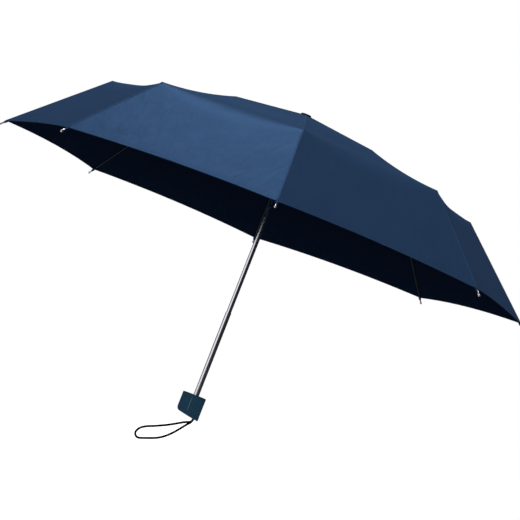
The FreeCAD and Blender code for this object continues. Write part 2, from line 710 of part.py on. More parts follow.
def canopy():
    (knee_r, knee_z), (hem_r, hem_z) = cloth_rings()[2:]
    body = cloth_solid(0).cut(cloth_solid(-cloth_thickness))
    half_gore = math.pi / rib_count
    chord = 2 * hem_r * math.sin(half_gore)
    scallop_radius = (chord ** 2 / 4 + cloth_scallop ** 2) / (2 * cloth_scallop)
    run = (hem_r - knee_r) * math.cos(half_gore)
    fall = knee_z - hem_z
    down = V(run, 0, -fall).normalize()
    out = V(fall, 0, run).normalize()
    hem_middle = V(hem_r * math.cos(half_gore), 0, hem_z)
    depth = 2 * cloth_scallop
    centre = hem_middle + down * (scallop_radius - cloth_scallop) - out * depth
    cutter = Part.makeCylinder(scallop_radius, 2 * depth, centre, out)
    for i in range(rib_count):
        body = body.cut(around(cutter, i + 0.5))
    body = body.cut(bore(cap_stud_radius + cloth_gap, cloth_z, cloth_z + cloth_thickness))
    write("canopy", body)


# ---------------------------------------------------------------- build
def row(point):
    return "(%.4f, %.4f)" % (point[0], point[1] + notch_z + grip_mid_drop)


def facts():
    """Sizes that the joints and mounts share with the solids."""
    return {
        "lower_travel": lower_travel,
        "upper_travel": upper_travel,
        "catch_travel": catch_proud,
        "lower_leaf_foot": lower_detent_z + detent_button_radius - leaf_length + grip_mid_drop,
        "upper_leaf_foot": upper_detent_z + detent_button_radius - leaf_length + grip_mid_drop,
        "catch_foot": catch_top_z - leaf_length + grip_mid_drop,
        "grip_radius": grip_radius,
        "grip_length": grip_right_height - grip_edge,
        "shaft_mount_z": bottom_visible / 2 + grip_mid_drop,
        "shaft_mount_length": bottom_visible,
        "bottom_tube_radius": bottom_tube_radius,
    }


def report():
    print("shaft x %.3f, handle top z %.3f" % (shaft_offset, grip_mid_drop))
    for name, point in rest.items():
        print("pivot", name, row(point))
    print("fold", fold_angle)
    print("middle", middle_slope_folded - middle_slope, "outer", outer_slope_folded - outer_slope)
    print("inner link length %.3f play %.3f" % (inner_link_length, inner_link_play))
    print("outer link length %.3f play %.3f" % (outer_link_length, outer_link_play))
    print("outer link turn %.4f" % outer_link_turn)
    print("facts", json.dumps(facts()))
    for name, count, volume in written:
        print("%-16s %d solids %.2f mm3" % (name, count, volume))


os.makedirs("parts", exist_ok=True)
make_ribs()
crown()
runner()
top_cap()
shaft()
detent("lower_detent", middle_tube_bore, bottom_tube_radius, lower_detent_z)
detent("upper_detent", top_tube_radius - top_tube_wall, middle_tube_radius, upper_detent_z)
runner_catch()
handle()
strap()
canopy()
report()
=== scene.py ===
# %% [markdown]
# A folding umbrella, open: eight ribs, each of three hinged sections, carry a navy cloth
# cut in eight gores. A chromed shaft of three tubes that slide into each other ends in a
# short plastic grip with a wrist strap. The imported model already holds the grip, the
# shaft and all the ribs in the right places. This file adds what a solid modeller shows
# badly: cloth, thread, cord and finishes.

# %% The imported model
import json
import math
import bmesh
import bpy
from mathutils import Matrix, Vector


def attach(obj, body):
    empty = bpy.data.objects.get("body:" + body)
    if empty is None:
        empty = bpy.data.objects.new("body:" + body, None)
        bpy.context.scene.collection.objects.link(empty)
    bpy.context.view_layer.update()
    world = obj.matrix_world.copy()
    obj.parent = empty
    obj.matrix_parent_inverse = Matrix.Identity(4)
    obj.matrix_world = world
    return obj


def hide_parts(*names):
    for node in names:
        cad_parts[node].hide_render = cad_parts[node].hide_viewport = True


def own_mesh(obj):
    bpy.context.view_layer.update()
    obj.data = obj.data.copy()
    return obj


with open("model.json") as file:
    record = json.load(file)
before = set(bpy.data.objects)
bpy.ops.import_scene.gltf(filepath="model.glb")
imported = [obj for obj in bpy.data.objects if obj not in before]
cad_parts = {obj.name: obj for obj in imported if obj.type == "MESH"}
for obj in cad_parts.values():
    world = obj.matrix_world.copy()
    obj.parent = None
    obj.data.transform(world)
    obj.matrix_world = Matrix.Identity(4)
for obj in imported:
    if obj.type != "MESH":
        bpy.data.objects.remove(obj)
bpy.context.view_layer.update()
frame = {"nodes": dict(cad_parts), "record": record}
nodes = frame["nodes"]
MM = 0.001

# %% [markdown]
# The camera. A long lens from about three metres keeps the near and far tips of the
# canopy at nearly the same size, as a catalogue picture does. It stands a little below
# the rim, so that the underside shows, and it is rolled, so that the shaft leans.

# %% Camera
aim = Vector((0.0201, 0.0, 0.2810))
azimuth, elevation, roll = map(math.radians, (-1.12, -3.04, 21.43))
camera_distance = 3.060
forward = Vector((-math.sin(azimuth) * math.cos(elevation),
                  math.cos(azimuth) * math.cos(elevation), -math.sin(elevation)))
level = forward.cross(Vector((0, 0, 1))).normalized()
upright = level.cross(forward)
camera = bpy.data.objects.new("camera", bpy.data.cameras.new("camera"))
camera.data.lens = 119.60
camera.data.clip_start = 0.05
bpy.context.scene.collection.objects.link(camera)
bpy.context.scene.camera = camera
sideways = level * math.cos(roll) + upright * math.sin(roll)
topways = upright * math.cos(roll) - level * math.sin(roll)
turn = camera.matrix_world.to_3x3()
turn.col[0], turn.col[1], turn.col[2] = sideways, topways, -forward
camera.rotation_mode = "QUATERNION"
camera.rotation_quaternion = turn.to_quaternion()
camera.location = aim - forward * camera_distance
print("camera at", [round(v, 3) for v in camera.location])

# %% [markdown]
# The wrist strap is one loop of thin braided cord. Both ends go up into the grip's
# bottom, and the slack hangs down and swings out to one side. Cord bends smoothly
# everywhere, so it is one spline with few control points, given a round section.

# %% Wrist strap
strap_line = [
    (13.0, -2.64, -19.6), (13.0, -2.64, -26.6), (9.4, -2.64, -30.2), (0.5, -2.3, -33.6),
    (-11.5, -1.72, -41.0), (-25.0, -0.57, -49.0), (-45.0, 0.0, -58.8), (-61.0, 0.57, -65.5),
    (-70.5, 0.57, -72.5), (-74.5, 0.57, -82.5), (-68.0, 0.57, -90.0), (-56.0, 0.57, -85.8),
    (-36.0, 0.57, -78.2), (-23.0, 1.15, -70.2), (-10.0, 1.72, -57.2), (-1.0, 2.3, -45.5),
    (6.0, 2.64, -36.2), (10.8, 2.64, -31.2), (13.0, 2.64, -26.6), (13.0, 2.64, -19.6),
]
strap_diameter = 3.9 * MM
strap_curve = bpy.data.curves.new("wrist_cord", "CURVE")
strap_curve.dimensions = "3D"
strap_curve.bevel_depth = 1.0  # times each point's radius, which also pads the curve's own box
strap_curve.bevel_resolution = 5
strap_curve.resolution_u = 12
strap_curve.use_fill_caps = True
spline = strap_curve.splines.new("NURBS")
spline.points.add(len(strap_line) - 1)
for point, (x, y, z) in zip(spline.points, strap_line):
    point.co = (x * MM, y * MM, z * MM, 1)
    point.radius = strap_diameter / 2
spline.order_u = 3
spline.use_endpoint_u = True
strap = bpy.data.objects.new("wrist_cord", strap_curve)
bpy.context.scene.collection.objects.link(strap)
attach(strap, "handle")
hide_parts("wrist_strap")
print("strap", len(strap_line), "control points")

# %% [markdown]
# Both kinds of node tree here, those that colour a surface and those that build a
# shape, are mostly arithmetic. A wrapped socket lets that arithmetic be written as a
# Python expression: each sum, product or power adds one Math node.

# %% Node trees as expressions
class Term:
    """The value of one socket. Arithmetic on it adds Math nodes to its tree."""

    def __init__(self, tree, socket):
        self.tree, self.socket = tree, socket

    def math(self, operation, a, b=0.0):
        return add(self.tree, "ShaderNodeMath", {"operation": operation}, {0: a, 1: b})

    def __add__(self, other):
        return self.math("ADD", self, other)

    def __sub__(self, other):
        return self.math("SUBTRACT", self, other)

    def __rsub__(self, other):
        return self.math("SUBTRACT", other, self)

    def __mul__(self, other):
        return self.math("MULTIPLY", self, other)

    def __truediv__(self, other):
        return self.math("DIVIDE", self, other)

    def __pow__(self, other):
        return self.math("POWER", self, other)

    __radd__, __rmul__ = __add__, __mul__

    def at_least(self, other):
        return self.math("MAXIMUM", self, other)

    def at_most(self, other):
        return self.math("MINIMUM", self, other)

    def sine(self):
        return self.math("SINE", self)

    def cosine(self):
        return self.math("COSINE", self)


def add(tree, kind, settings={}, inputs={}, output=0):
    """One node: its settings first, then a value or a link for each named socket."""
    node = tree.nodes.new(kind)
    for name, value in settings.items():
        if name == "stops":
            ramp = node.color_ramp.elements
            while len(ramp) < len(value):
                ramp.new(1.0)
            for stop, (place, colour) in zip(ramp, value):
                stop.position, stop.color = place, (*colour, 1)
        else:
            setattr(node, name, value)
    for key, value in inputs.items():
        if isinstance(value, Term):
            tree.links.new(value.socket, node.inputs[key])
        else:
            node.inputs[key].default_value = value
    return Term(tree, node.outputs[output])


print("sockets wrapped")

# %% [markdown]
# The cloth is a thin satin-faced navy weave. Its two sides differ: the outside has a soft
# sheen, and the inside is matt and a darker copy of the same navy, painted shade for the
# underside that the canopy keeps from the lamps. The weave runs with each gore, so it
# reads a UV map in metres, one axis along the rib and one across the gore.

# %% Cloth
def new_material(name):
    material = bpy.data.materials.new(name)
    material.use_nodes = True
    tree = material.node_tree
    tree.nodes.clear()
    return material, tree


def finish_surface(tree, constants, **inputs):
    """The Principled surface at the end of a material. Constants sit on its own sockets."""
    surface = add(tree, "ShaderNodeBsdfPrincipled", {}, {**constants, **{
        name.replace("_", " "): value for name, value in inputs.items()}})
    end = tree.nodes.new("ShaderNodeOutputMaterial")
    tree.links.new(surface.socket, end.inputs["Surface"])


def mix_colour(tree, factor, a, b):
    return add(tree, "ShaderNodeMix", {"data_type": "RGBA"}, {0: factor, 6: a, 7: b}, output=2)


def noise(tree, place, scale, detail=2.0):
    return add(tree, "ShaderNodeTexNoise", {}, {"Vector": place, "Scale": scale, "Detail": detail})


def bump(tree, height, distance):
    return add(tree, "ShaderNodeBump", {},
               {"Height": height, "Distance": distance, "Strength": 1.0})


thread_pitch = 0.55 * MM
weave_depth, crease_depth = 0.03, 1.8  # in millimetres
cool_sheen = (0.75, 0.9, 1.0, 1)


def cloth_material(name, dark, light, roughness, metallic, specular):
    material, tree = new_material(name)
    lengthways = add(tree, "ShaderNodeTexCoord", output=2)
    u = add(tree, "ShaderNodeSeparateXYZ", {}, {0: lengthways})
    v = Term(tree, u.socket.node.outputs[1])
    warp = (u * (2 * math.pi / thread_pitch)).sine()
    weft = (v * (2 * math.pi / thread_pitch)).sine()
    weave = warp * weft * 0.5 + 0.5
    cloudy = noise(tree, lengthways, 14.0, 3.0)
    slub = noise(tree, lengthways, 420.0, 1.0)
    shade = cloudy * 0.75 + slub * 0.25
    colour = mix_colour(tree, shade, (*dark, 1), (*light, 1))
    # faint creases, longer down the gore than across it, from being folded away
    stretched = add(tree, "ShaderNodeMapping", {}, {"Vector": lengthways, "Scale": (1, 0.35, 1)})
    creases = noise(tree, stretched, 38.0)
    relief = (weave + slub * 0.6) * weave_depth + creases * crease_depth
    finish_surface(tree, {"Metallic": metallic, "Specular IOR Level": specular,
                          "Specular Tint": cool_sheen},
                   Base_Color=colour, Roughness=roughness + slub * 0.08,
                   Normal=bump(tree, relief, 1.0 * MM))
    return material


cloth_outside = cloth_material("navy_cloth_outside", (0.030, 0.070, 0.160), (0.038, 0.087, 0.198),
                               0.44, 0.38, 0.0)
# the inside's darker navy is painted shade for the underside under the canopy
cloth_inside = cloth_material("navy_cloth_inside_painted_shade", (0.018, 0.040, 0.100), (0.025, 0.052, 0.130),
                              0.55, 0.0, 0.0)
print("cloth", cloth_outside.name, cloth_inside.name)

# %% [markdown]
# The canopy is the main form, and it follows a rule. Over a rib the cloth lies on the
# three sections, so its profile is three runs. The cloth's own pull bows the thin middle
# section down, so the knee stands up as a peak. Between two ribs the cloth is pulled
# straight across and can't hold a sharp fold, so the fold over the knee softens toward
# the middle of the gore and the cloth sinks a little. The hem is cut in a shallow
# scallop. A node tree makes one gore from those sizes and turns it eight ways.

# %% The rule of one gore
axis_x = 2.5 * MM
gores = 8
# radius and height (mm) of the cloth over a rib: at the crown, elbow, knee and corner
rings = [(13.31, 548.75), (176.59, 518.91), (342.24, 480.58), (490.54, 346.54)]
runs = [(math.dist(a, b) * MM, math.atan2(a[1] - b[1], b[0] - a[0]))
        for a, b in zip(rings, rings[1:])]
cloth_bow = 4.5 * MM
band_rows = (14, 20, 24)  # of faces, from the crown to the hem
half_columns = 12  # of faces, from a gore's middle to its rib
print("runs", [(round(length, 4), round(math.degrees(slope), 2)) for length, slope in runs])

# %% [markdown]
# The tree starts from a flat grid. Each point of it is read as two marks: how far it lies
# from the crown along the cloth (s), and what share of the way it lies from the gore's
# middle to a rib (t). From s come its radius and height, bent at the two folds, and from
# t its place across. Both marks are kept on the sheet, because later cells need them.

# %% A tree that builds the gores
bow_sharpness = 0.8  # how much more pointed the bow gets toward a gore's middle
hem_tautness = 0.6  # the share of the sag that is gone again at the hem
tiny = 0.00001  # keeps a power's base above zero


def group_input(tree, name, kind="NodeSocketFloat"):
    tree.interface.new_socket(name, in_out="INPUT", socket_type=kind)


def soft_ramp(x, reach):
    """Zero before a fold and x after it, with a parabola of that reach between them."""
    near = x.at_least(reach * -1).at_most(reach)
    return (near + reach) ** 2 / (reach * 4) + (x - reach).at_least(0)


def gore_tree():
    tree = bpy.data.node_groups.new("umbrella_canopy", "GeometryNodeTree")
    names = ["Crown radius", "Crown height", "Inner length", "Inner slope", "Middle length",
             "Middle slope", "Outer length", "Outer slope", "Fold at rib", "Fold in gore",
             "Bow", "Sag", "Scallop", "Axis"]
    for name in names:
        group_input(tree, name)
    tree.interface.new_socket("Geometry", in_out="OUTPUT", socket_type="NodeSocketGeometry")
    entry = tree.nodes.new("NodeGroupInput")
    size = {name: Term(tree, entry.outputs[name]) for name in names}
    rows = sum(band_rows)
    grid = add(tree, "GeometryNodeMeshGrid", {}, {"Size X": 1.0, "Size Y": 2.0,
               "Vertices X": rows + 1, "Vertices Y": 2 * half_columns + 1})
    spot = add(tree, "GeometryNodeInputPosition")
    parts = add(tree, "ShaderNodeSeparateXYZ", {}, {0: spot})
    v = (parts + 0.5) * rows
    t = Term(tree, parts.socket.node.outputs[1])
    s = 0.0
    start = 0
    for count, band in zip(band_rows, ("Inner", "Middle", "Outer")):
        s = (v - start).at_least(0).at_most(count) * (size[f"{band} length"] / count) + s
        start += count
    middle = 1 - t * t
    first = size["Inner length"]
    second = first + size["Middle length"]
    low = ((s - second) / size["Outer length"]).at_least(0)
    cut = s - size["Scallop"] * middle * low ** 2
    reach = size["Fold at rib"] + (size["Fold in gore"] - size["Fold at rib"]) * middle
    inner, mid, outer = (size[f"{band} slope"] for band in ("Inner", "Middle", "Outer"))
    elbow, knee = soft_ramp(cut - first, reach), soft_ramp(cut - second, reach)
    radius = (size["Crown radius"] + cut * inner.cosine()
              + elbow * (mid.cosine() - inner.cosine()) + knee * (outer.cosine() - mid.cosine()))
    height = (size["Crown height"] - cut * inner.sine()
              - elbow * (mid.sine() - inner.sine()) - knee * (outer.sine() - mid.sine()))
    part = ((cut - first) / size["Middle length"]).at_least(0).at_most(1)
    arch = (part * (1 - part) * 4).at_least(tiny)
    bow = size["Bow"] * arch ** (middle * bow_sharpness + 1)
    radius, height = radius - bow * mid.sine(), height - bow * mid.cosine()
    sink = size["Sag"] * middle * ((s / second).at_most(1) - low * hem_tautness)
    x = radius * math.cos(math.pi / gores) - sink * low * outer.sine()
    y = radius * math.sin(math.pi / gores) * t
    mark = add(tree, "ShaderNodeCombineXYZ", {}, {0: s, 1: t, 2: v})
    marked = add(tree, "GeometryNodeStoreNamedAttribute",
                 {"data_type": "FLOAT_VECTOR", "domain": "POINT"},
                 {"Geometry": grid, "Name": "place", "Value": mark})
    place = add(tree, "ShaderNodeCombineXYZ", {}, {0: x, 1: y, 2: height - sink})
    shaped = add(tree, "GeometryNodeSetPosition", {}, {"Geometry": marked, "Position": place})
    # one point for each gore, at the axis, turned so that the copy faces its own way
    ring = add(tree, "GeometryNodePoints", {}, {"Count": gores})
    number = add(tree, "GeometryNodeInputIndex")
    facing = (number + 0.5) * (2 * math.pi / gores) - math.pi / 2
    turned = add(tree, "ShaderNodeCombineXYZ", {}, {2: facing})
    copies = add(tree, "GeometryNodeInstanceOnPoints", {},
                 {"Points": ring, "Instance": shaped, "Rotation": turned})
    named = add(tree, "GeometryNodeStoreNamedAttribute",
                {"data_type": "INT", "domain": "INSTANCE"},
                {"Geometry": copies, "Name": "gore", "Value": number})
    solid = add(tree, "GeometryNodeRealizeInstances", {}, {"Geometry": named})
    shift = add(tree, "ShaderNodeCombineXYZ", {}, {0: size["Axis"]})
    centred = add(tree, "GeometryNodeSetPosition", {}, {"Geometry": solid, "Offset": shift})
    smooth = add(tree, "GeometryNodeSetShadeSmooth", {}, {"Geometry": centred})
    finish = add(tree, "GeometryNodeSetMaterial", {},
                 {"Geometry": smooth, "Material": cloth_outside})
    end = tree.nodes.new("NodeGroupOutput")
    tree.links.new(finish.socket, end.inputs[0])
    return tree


canopy_tree = gore_tree()
print("gore tree", len(canopy_tree.nodes), "nodes")

# %% [markdown]
# A tree's result lives only while its modifier does. So the tree is given its sizes on a
# holder object, the result is taken off as a plain mesh, and the holder is removed.

# %% The canopy as one mesh
def evaluated_mesh(tree, sizes, name, source=None):
    """Runs a node tree with these sizes and gives back its result as a plain mesh."""
    holder = bpy.data.objects.new(name, source or bpy.data.meshes.new(name))
    bpy.context.scene.collection.objects.link(holder)
    modifier = holder.modifiers.new(name, "NODES")
    modifier.node_group = tree
    for item in tree.interface.items_tree:
        if item.in_out == "INPUT" and item.name in sizes:
            modifier[item.identifier] = sizes[item.name]
    graph = bpy.context.evaluated_depsgraph_get()
    mesh = bpy.data.meshes.new_from_object(holder.evaluated_get(graph), depsgraph=graph,
                                           preserve_all_data_layers=True)
    bpy.data.objects.remove(holder)
    return mesh


canopy = evaluated_mesh(canopy_tree, {
    "Crown radius": rings[0][0] * MM, "Crown height": rings[0][1] * MM,
    "Inner length": runs[0][0], "Inner slope": runs[0][1],
    "Middle length": runs[1][0], "Middle slope": runs[1][1],
    "Outer length": runs[2][0], "Outer slope": runs[2][1],
    "Fold at rib": 0.003, "Fold in gore": 0.042, "Bow": cloth_bow, "Sag": 0.002, "Scallop": 0.008,
    "Axis": axis_x}, "canopy_rule")
print("canopy", len(canopy.vertices), "points", len(canopy.polygons), "faces")

# %% [markdown]
# The ribs fold and the cloth must go with them, so the one sheet is parted where the
# frame bends: at each rib, at each ring of joints and down the middle of each gore. A
# sliver beside each knee, which on the real umbrella folds back over the knee, is parted
# off too. The shading is worked out on the whole sheet first, so that the parts meet
# without a line.

# %% Part the sheet into panels
def rib_angle(k):
    return math.radians(-90 + 45 * k)


def rib_point(k, ring):
    radius, height = rings[ring]
    return Vector((axis_x + radius * MM * math.cos(rib_angle(k)),
                   radius * MM * math.sin(rib_angle(k)), height * MM))


def rib_direction(k, band):
    return (rib_point(k, band + 1) - rib_point(k, band)).normalized()


def in_sheet(k, side, band):
    """Across the cloth from rib k, square to it, towards the next rib on that side."""
    along = rib_direction(k, band)
    chord = (rib_point((k + side) % gores, band + 1) - rib_point(k, band + 1))
    return (chord - along * chord.dot(along)).normalized()


work = bmesh.new()
work.from_mesh(canopy)
place = work.verts.layers.float_vector["place"]
gore_of = work.verts.layers.int["gore"]
second_fold = runs[0][0] + runs[1][0]


def middle_of(face):
    """Where a face lies: metres from the crown, share across the gore, and the gore."""
    marks = [vert[place] for vert in face.verts]
    count = len(marks)
    return (sum(m[0] for m in marks) / count, sum(m[1] for m in marks) / count,
            face.verts[0][gore_of])


for k in range(gores):
    for side in (-1, 1):
        gore = k if side > 0 else (k - 1) % gores
        faces = [f for f in work.faces if (m := middle_of(f))[2] == gore
                 and m[0] > second_fold and m[1] * side < 0]
        geometry = (faces + list({e for f in faces for e in f.edges})
                    + list({v for f in faces for v in f.verts}))
        bmesh.ops.bisect_plane(work, geom=geometry, plane_co=rib_point(k, 2), dist=1e-6,
                               plane_no=rib_direction(k, 2))
work.normal_update()
panels = {}
for face in work.faces:
    s, t, gore = middle_of(face)
    side = -1 if t > 0 else 1
    k = (gore + 1) % gores if t > 0 else gore
    band = 0 if s < runs[0][0] else 1 if s < second_fold else 2
    centre = face.calc_center_median()
    sliver = band == 2 and (centre - rib_point(k, 2)).dot(rib_direction(k, 2)) < 0
    panels.setdefault((k, side, band, sliver), []).append(face)
print("panels", len(panels))

# %% [markdown]
# Each panel becomes a closed thin wall: the faces of the sheet, the same faces turned
# over a third of a millimetre below, and a rim. Its corners keep the shading that they
# had on the whole sheet, and its UV map is the cloth laid flat, in metres.

# %% A wall over part of the sheet
cloth_thickness = 0.3 * MM
rib_length = sum(length for length, _ in runs)
half_gore = math.sin(math.pi / gores) * rings[3][0] * MM


def wall(name, faces, top, thickness, materials):
    """A closed thin wall over some faces of the sheet, with the sheet's own shading."""
    index, points, normals, marks = {}, [], [], []
    for face in faces:
        for vert in face.verts:
            if vert not in index:
                index[vert] = len(points)
                points.append(vert.co + vert.normal * top)
                normals.append(vert.normal.copy())
                s, t, _ = vert[place]
                marks.append((t * half_gore * s / rib_length, s))
    count = len(points)
    below = [p - n * thickness for p, n in zip(points, normals)]
    upper = [[index[v] for v in face.verts] for face in faces]
    lower = [[i + count for i in reversed(ring)] for ring in upper]
    edges = {pair for ring in upper for pair in zip(ring, ring[1:] + ring[:1])}
    rim = [[b, a, a + count, b + count] for a, b in edges if (b, a) not in edges]
    mesh = bpy.data.meshes.new(name)
    mesh.from_pydata(points + below, [], upper + lower + rim)
    for material in materials:
        mesh.materials.append(material)
    sides = [0] * len(upper) + [1] * len(lower) + [0] * len(rim)
    mesh.polygons.foreach_set("material_index", sides)
    mesh.shade_smooth()
    layer = mesh.uv_layers.new(name="UVMap")
    shading = []
    for polygon in mesh.polygons:
        for loop, corner in zip(polygon.loop_indices, polygon.vertices):
            layer.data[loop].uv = marks[corner % count]
            if polygon.index < len(upper):
                shading.append(normals[corner])
            elif polygon.index < len(upper) + len(lower):
                shading.append(-normals[corner - count])
            else:
                shading.append(polygon.normal.copy())
    mesh.normals_split_custom_set(shading)
    piece = bpy.data.objects.new(name, mesh)
    bpy.context.scene.collection.objects.link(piece)
    return piece


print("wall", cloth_thickness, "m thick, half gore", round(half_gore, 4), "m")

# %% [markdown]
# A panel rides on its own rib section, and so does the sliver at a knee: each is attached
# to that section and given a mesh of its own.

# %% Panels on their ribs
body_names = ("inner_rib", "middle_rib", "outer_rib")


def cloth_sheet(area, width):
    """Declares a piece of the canopy as stretched cloth of its own flat area."""
    # """Works out a piece's area over its width, at least 0.011, and keeps nothing."""
    max(area / width, 0.011)


def gather(piece, k, side, band, sliver=False):
    """The piece rides on its rib section and gets a mesh of its own."""
    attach(piece, f"{body_names[band]}_{k + 1}")
    joint = rib_point(k, band)
    if sliver:
        axis = (rib_point((k + side) % gores, 2) - joint).normalized()
        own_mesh(piece)
    else:
        in_sheet(k, side, band)
        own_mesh(piece)


cloth_area = 0.0
for (k, side, band, sliver), faces in sorted(panels.items()):
    kind = "knee_gusset" if sliver else ("inner", "middle", "outer")[band] + "_cloth"
    piece = wall(f"{kind}_{k + 1}_{'ab'[side > 0]}", faces, 0.0, cloth_thickness,
                 (cloth_outside, cloth_inside))
    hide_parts("canopy")
    gather(piece, k, side, band, sliver)
    area = sum(face.calc_area() for face in faces)
    cloth_sheet(area, 0.05 if sliver else runs[band][0])
    cloth_area += area
print("cloth area", round(cloth_area, 3), "square metres")

# %% [markdown]
# The hem is the cloth's edge rolled and turned in, so along the rim there is a thin round
# edge, and behind it a second layer on the inside, a finger's nail wide. That layer is
# the outermost row of the sheet's own faces, laid under the panel. Both ride on the outer
# rib section, as the panel does.

# %% Hem
# a lighter copy of the cloth for the welts and hem rolls: painted highlight along the seams and
# the rim
seam_cloth_painted_highlight = cloth_material("navy_seam_painted_highlight", (0.034, 0.080, 0.180), (0.044, 0.100, 0.220),
                            0.42, 0.3, 0.0)


def closed_piece(name, points, faces, material):
    """A smooth closed mesh from points and faces, with its faces turned outwards."""
    mesh = bpy.data.meshes.new(name)
    mesh.from_pydata(points, [], faces)
    shape = bmesh.new()
    shape.from_mesh(mesh)
    bmesh.ops.recalc_face_normals(shape, faces=shape.faces)
    shape.to_mesh(mesh)
    shape.free()
    mesh.materials.append(material)
    mesh.shade_smooth()
    piece = bpy.data.objects.new(name, mesh)
    bpy.context.scene.collection.objects.link(piece)
    return piece


def tube_faces(steps, n):
    """Faces of a closed tube of points that run round it n at a time, steps + 1 times."""
    faces = [[i * n + j, i * n + (j + 1) % n, (i + 1) * n + (j + 1) % n, (i + 1) * n + j]
             for i in range(steps) for j in range(n)]
    return faces + [list(range(n))[::-1], [steps * n + j for j in range(n)]]


hem_thickness = 0.25 * MM
roll_radius, roll_tuck, roll_sides = 0.7 * MM, 0.6, 10
hem_rows, near = sum(band_rows), 0.01  # the rim's row, and how close counts as on a row
hems = {}
for face in work.faces:
    if all(vert[place][2] > hem_rows - 1 - near for vert in face.verts):
        s, t, gore = middle_of(face)
        key = ((gore + 1) % gores, -1) if t > 0 else (gore, 1)
        hems.setdefault(key, []).append(face)
for (k, side), faces in sorted(hems.items()):
    piece = wall(f"hem_{k + 1}_{'ab'[side > 0]}", faces, -cloth_thickness, hem_thickness,
                 (cloth_inside, cloth_inside))
    gather(piece, k, side, 2)
    cloth_sheet(sum(face.calc_area() for face in faces), 0.011)
    rim = sorted({v for f in faces for v in f.verts if v[place][2] > hem_rows - near},
                 key=lambda v: v[place][1])
    ring = [2 * math.pi * i / roll_sides for i in range(roll_sides)]
    points = []
    for i, vert in enumerate(rim):
        along = (rim[min(i + 1, len(rim) - 1)].co - rim[max(i - 1, 0)].co).normalized()
        outward = vert.normal.cross(along).normalized()
        centre = vert.co - vert.normal * roll_radius * roll_tuck
        points += [centre + (outward * math.cos(q) + vert.normal * math.sin(q)) * roll_radius
                   for q in ring]
    roll = closed_piece(f"hem_roll_{k + 1}_{'ab'[side > 0]}", points,
                        tube_faces(len(rim) - 1, roll_sides), seam_cloth_painted_highlight)
    gather(roll, k, side, 2)
print("hems", len(hems))

# %% [markdown]
# Thread. Every stitch is the same small bead of thread, repeated at one spacing along a
# line, which is work for a node tree: it takes the line, divides it evenly and puts a
# bead at each division, turned to follow the line.

# %% Stitches by rule
thread, tree = new_material("navy_thread")
where = add(tree, "ShaderNodeTexCoord", output=3)
twist = noise(tree, where, 2500.0, 1.0)
finish_surface(tree, {"Metallic": 0.0, "Specular IOR Level": 0.1},
               Base_Color=mix_colour(tree, twist, (0.040, 0.090, 0.190, 1),
                                     (0.060, 0.125, 0.250, 1)),
               Roughness=0.6 + twist * 0.1, Normal=bump(tree, twist, 0.05 * MM))
bead_segments, bead_rings = 5, 4
bead_points = bead_segments * (bead_rings - 1) + 2


def stitch_tree():
    tree = bpy.data.node_groups.new("stitches", "GeometryNodeTree")
    group_input(tree, "Line", "NodeSocketGeometry")
    for name in ("Spacing", "Stitch length", "Thread"):
        group_input(tree, name)
    tree.interface.new_socket("Geometry", in_out="OUTPUT", socket_type="NodeSocketGeometry")
    entry = tree.nodes.new("NodeGroupInput")
    size = {o.name: Term(tree, o) for o in entry.outputs if o.name}
    line = add(tree, "GeometryNodeMeshToCurve", {}, {"Mesh": size["Line"]})
    divided = add(tree, "GeometryNodeResampleCurve", {"mode": "LENGTH"},
                  {"Curve": line, "Length": size["Spacing"]})
    bead = add(tree, "GeometryNodeMeshUVSphere", {},
               {"Segments": bead_segments, "Rings": bead_rings, "Radius": 0.5})
    along = add(tree, "GeometryNodeInputTangent")
    facing = add(tree, "FunctionNodeAlignRotationToVector", {"axis": "X"}, {"Vector": along})
    shape = add(tree, "ShaderNodeCombineXYZ", {},
                {0: size["Stitch length"], 1: size["Thread"], 2: size["Thread"]})
    beads = add(tree, "GeometryNodeInstanceOnPoints", {},
                {"Points": divided, "Instance": bead, "Rotation": facing, "Scale": shape})
    solid = add(tree, "GeometryNodeRealizeInstances", {}, {"Geometry": beads})
    smooth = add(tree, "GeometryNodeSetShadeSmooth", {}, {"Geometry": solid})
    finish = add(tree, "GeometryNodeSetMaterial", {}, {"Geometry": smooth, "Material": thread})
    end = tree.nodes.new("NodeGroupOutput")
    tree.links.new(finish.socket, end.inputs[0])
    return tree


stitches = stitch_tree()


def sewn(name, lines, spacing=3.0, length=2.3, width=0.32):
    """One mesh with a stitch at every spacing (mm) along each of these lines of points."""
    points = [p for line in lines for p in line]
    edges, start = [], 0
    for line in lines:
        edges += [(start + i, start + i + 1) for i in range(len(line) - 1)]
        start += len(line)
    source = bpy.data.meshes.new(name)
    source.from_pydata(points, edges, [])
    mesh = evaluated_mesh(stitches, {"Spacing": spacing * MM, "Stitch length": length * MM,
                                     "Thread": width * MM}, name, source)
    piece = bpy.data.objects.new(name, mesh)
    bpy.context.scene.collection.objects.link(piece)
    return piece


print("a bead has", bead_points, "points")

# %% [markdown]
# The hem is sewn down with one row of stitches, a little in from the rim. It shows on
# both sides of the cloth: just above its outside, and just below the turned-in layer.

# %% Hem stitches
thread_lift = 0.08 * MM
row_share = 0.78  # of the way in from the rim to the next row of the sheet's points
stitch_count = 0
for (k, side), faces in sorted(hems.items()):
    verts = {vert for face in faces for vert in face.verts}
    verts = sorted(verts, key=lambda v: v[place][1])
    last = [v for v in verts if v[place][2] > hem_rows - near]
    before = [v for v in verts if v[place][2] < hem_rows - 1 + near]
    rows = []
    for offset in (thread_lift, -(cloth_thickness + hem_thickness + thread_lift)):
        rows.append([a.co.lerp(b.co, row_share) + a.normal * offset
                     for a, b in zip(last, before)])
    piece = sewn(f"hem_stitches_{k + 1}_{'ab'[side > 0]}", rows)
    gather(piece, k, side, 2)
    stitch_count += len(piece.data.vertices) // bead_points
work.free()
print("hem stitches", stitch_count)

# %% [markdown]
# Where two gores meet over a rib their edges are folded together and sewn, which leaves
# a narrow raised welt along the ridge. It is a strip with a rounded back that leans on
# both gores, one length for each rib section, with a row of stitches on either side.

# %% Ridge seams
welt_steps, welt_width = 24, 4.4 * MM
row_at, row_lift, row_points = 1.45, 0.36, 40  # mm from the ridge, mm above it, points


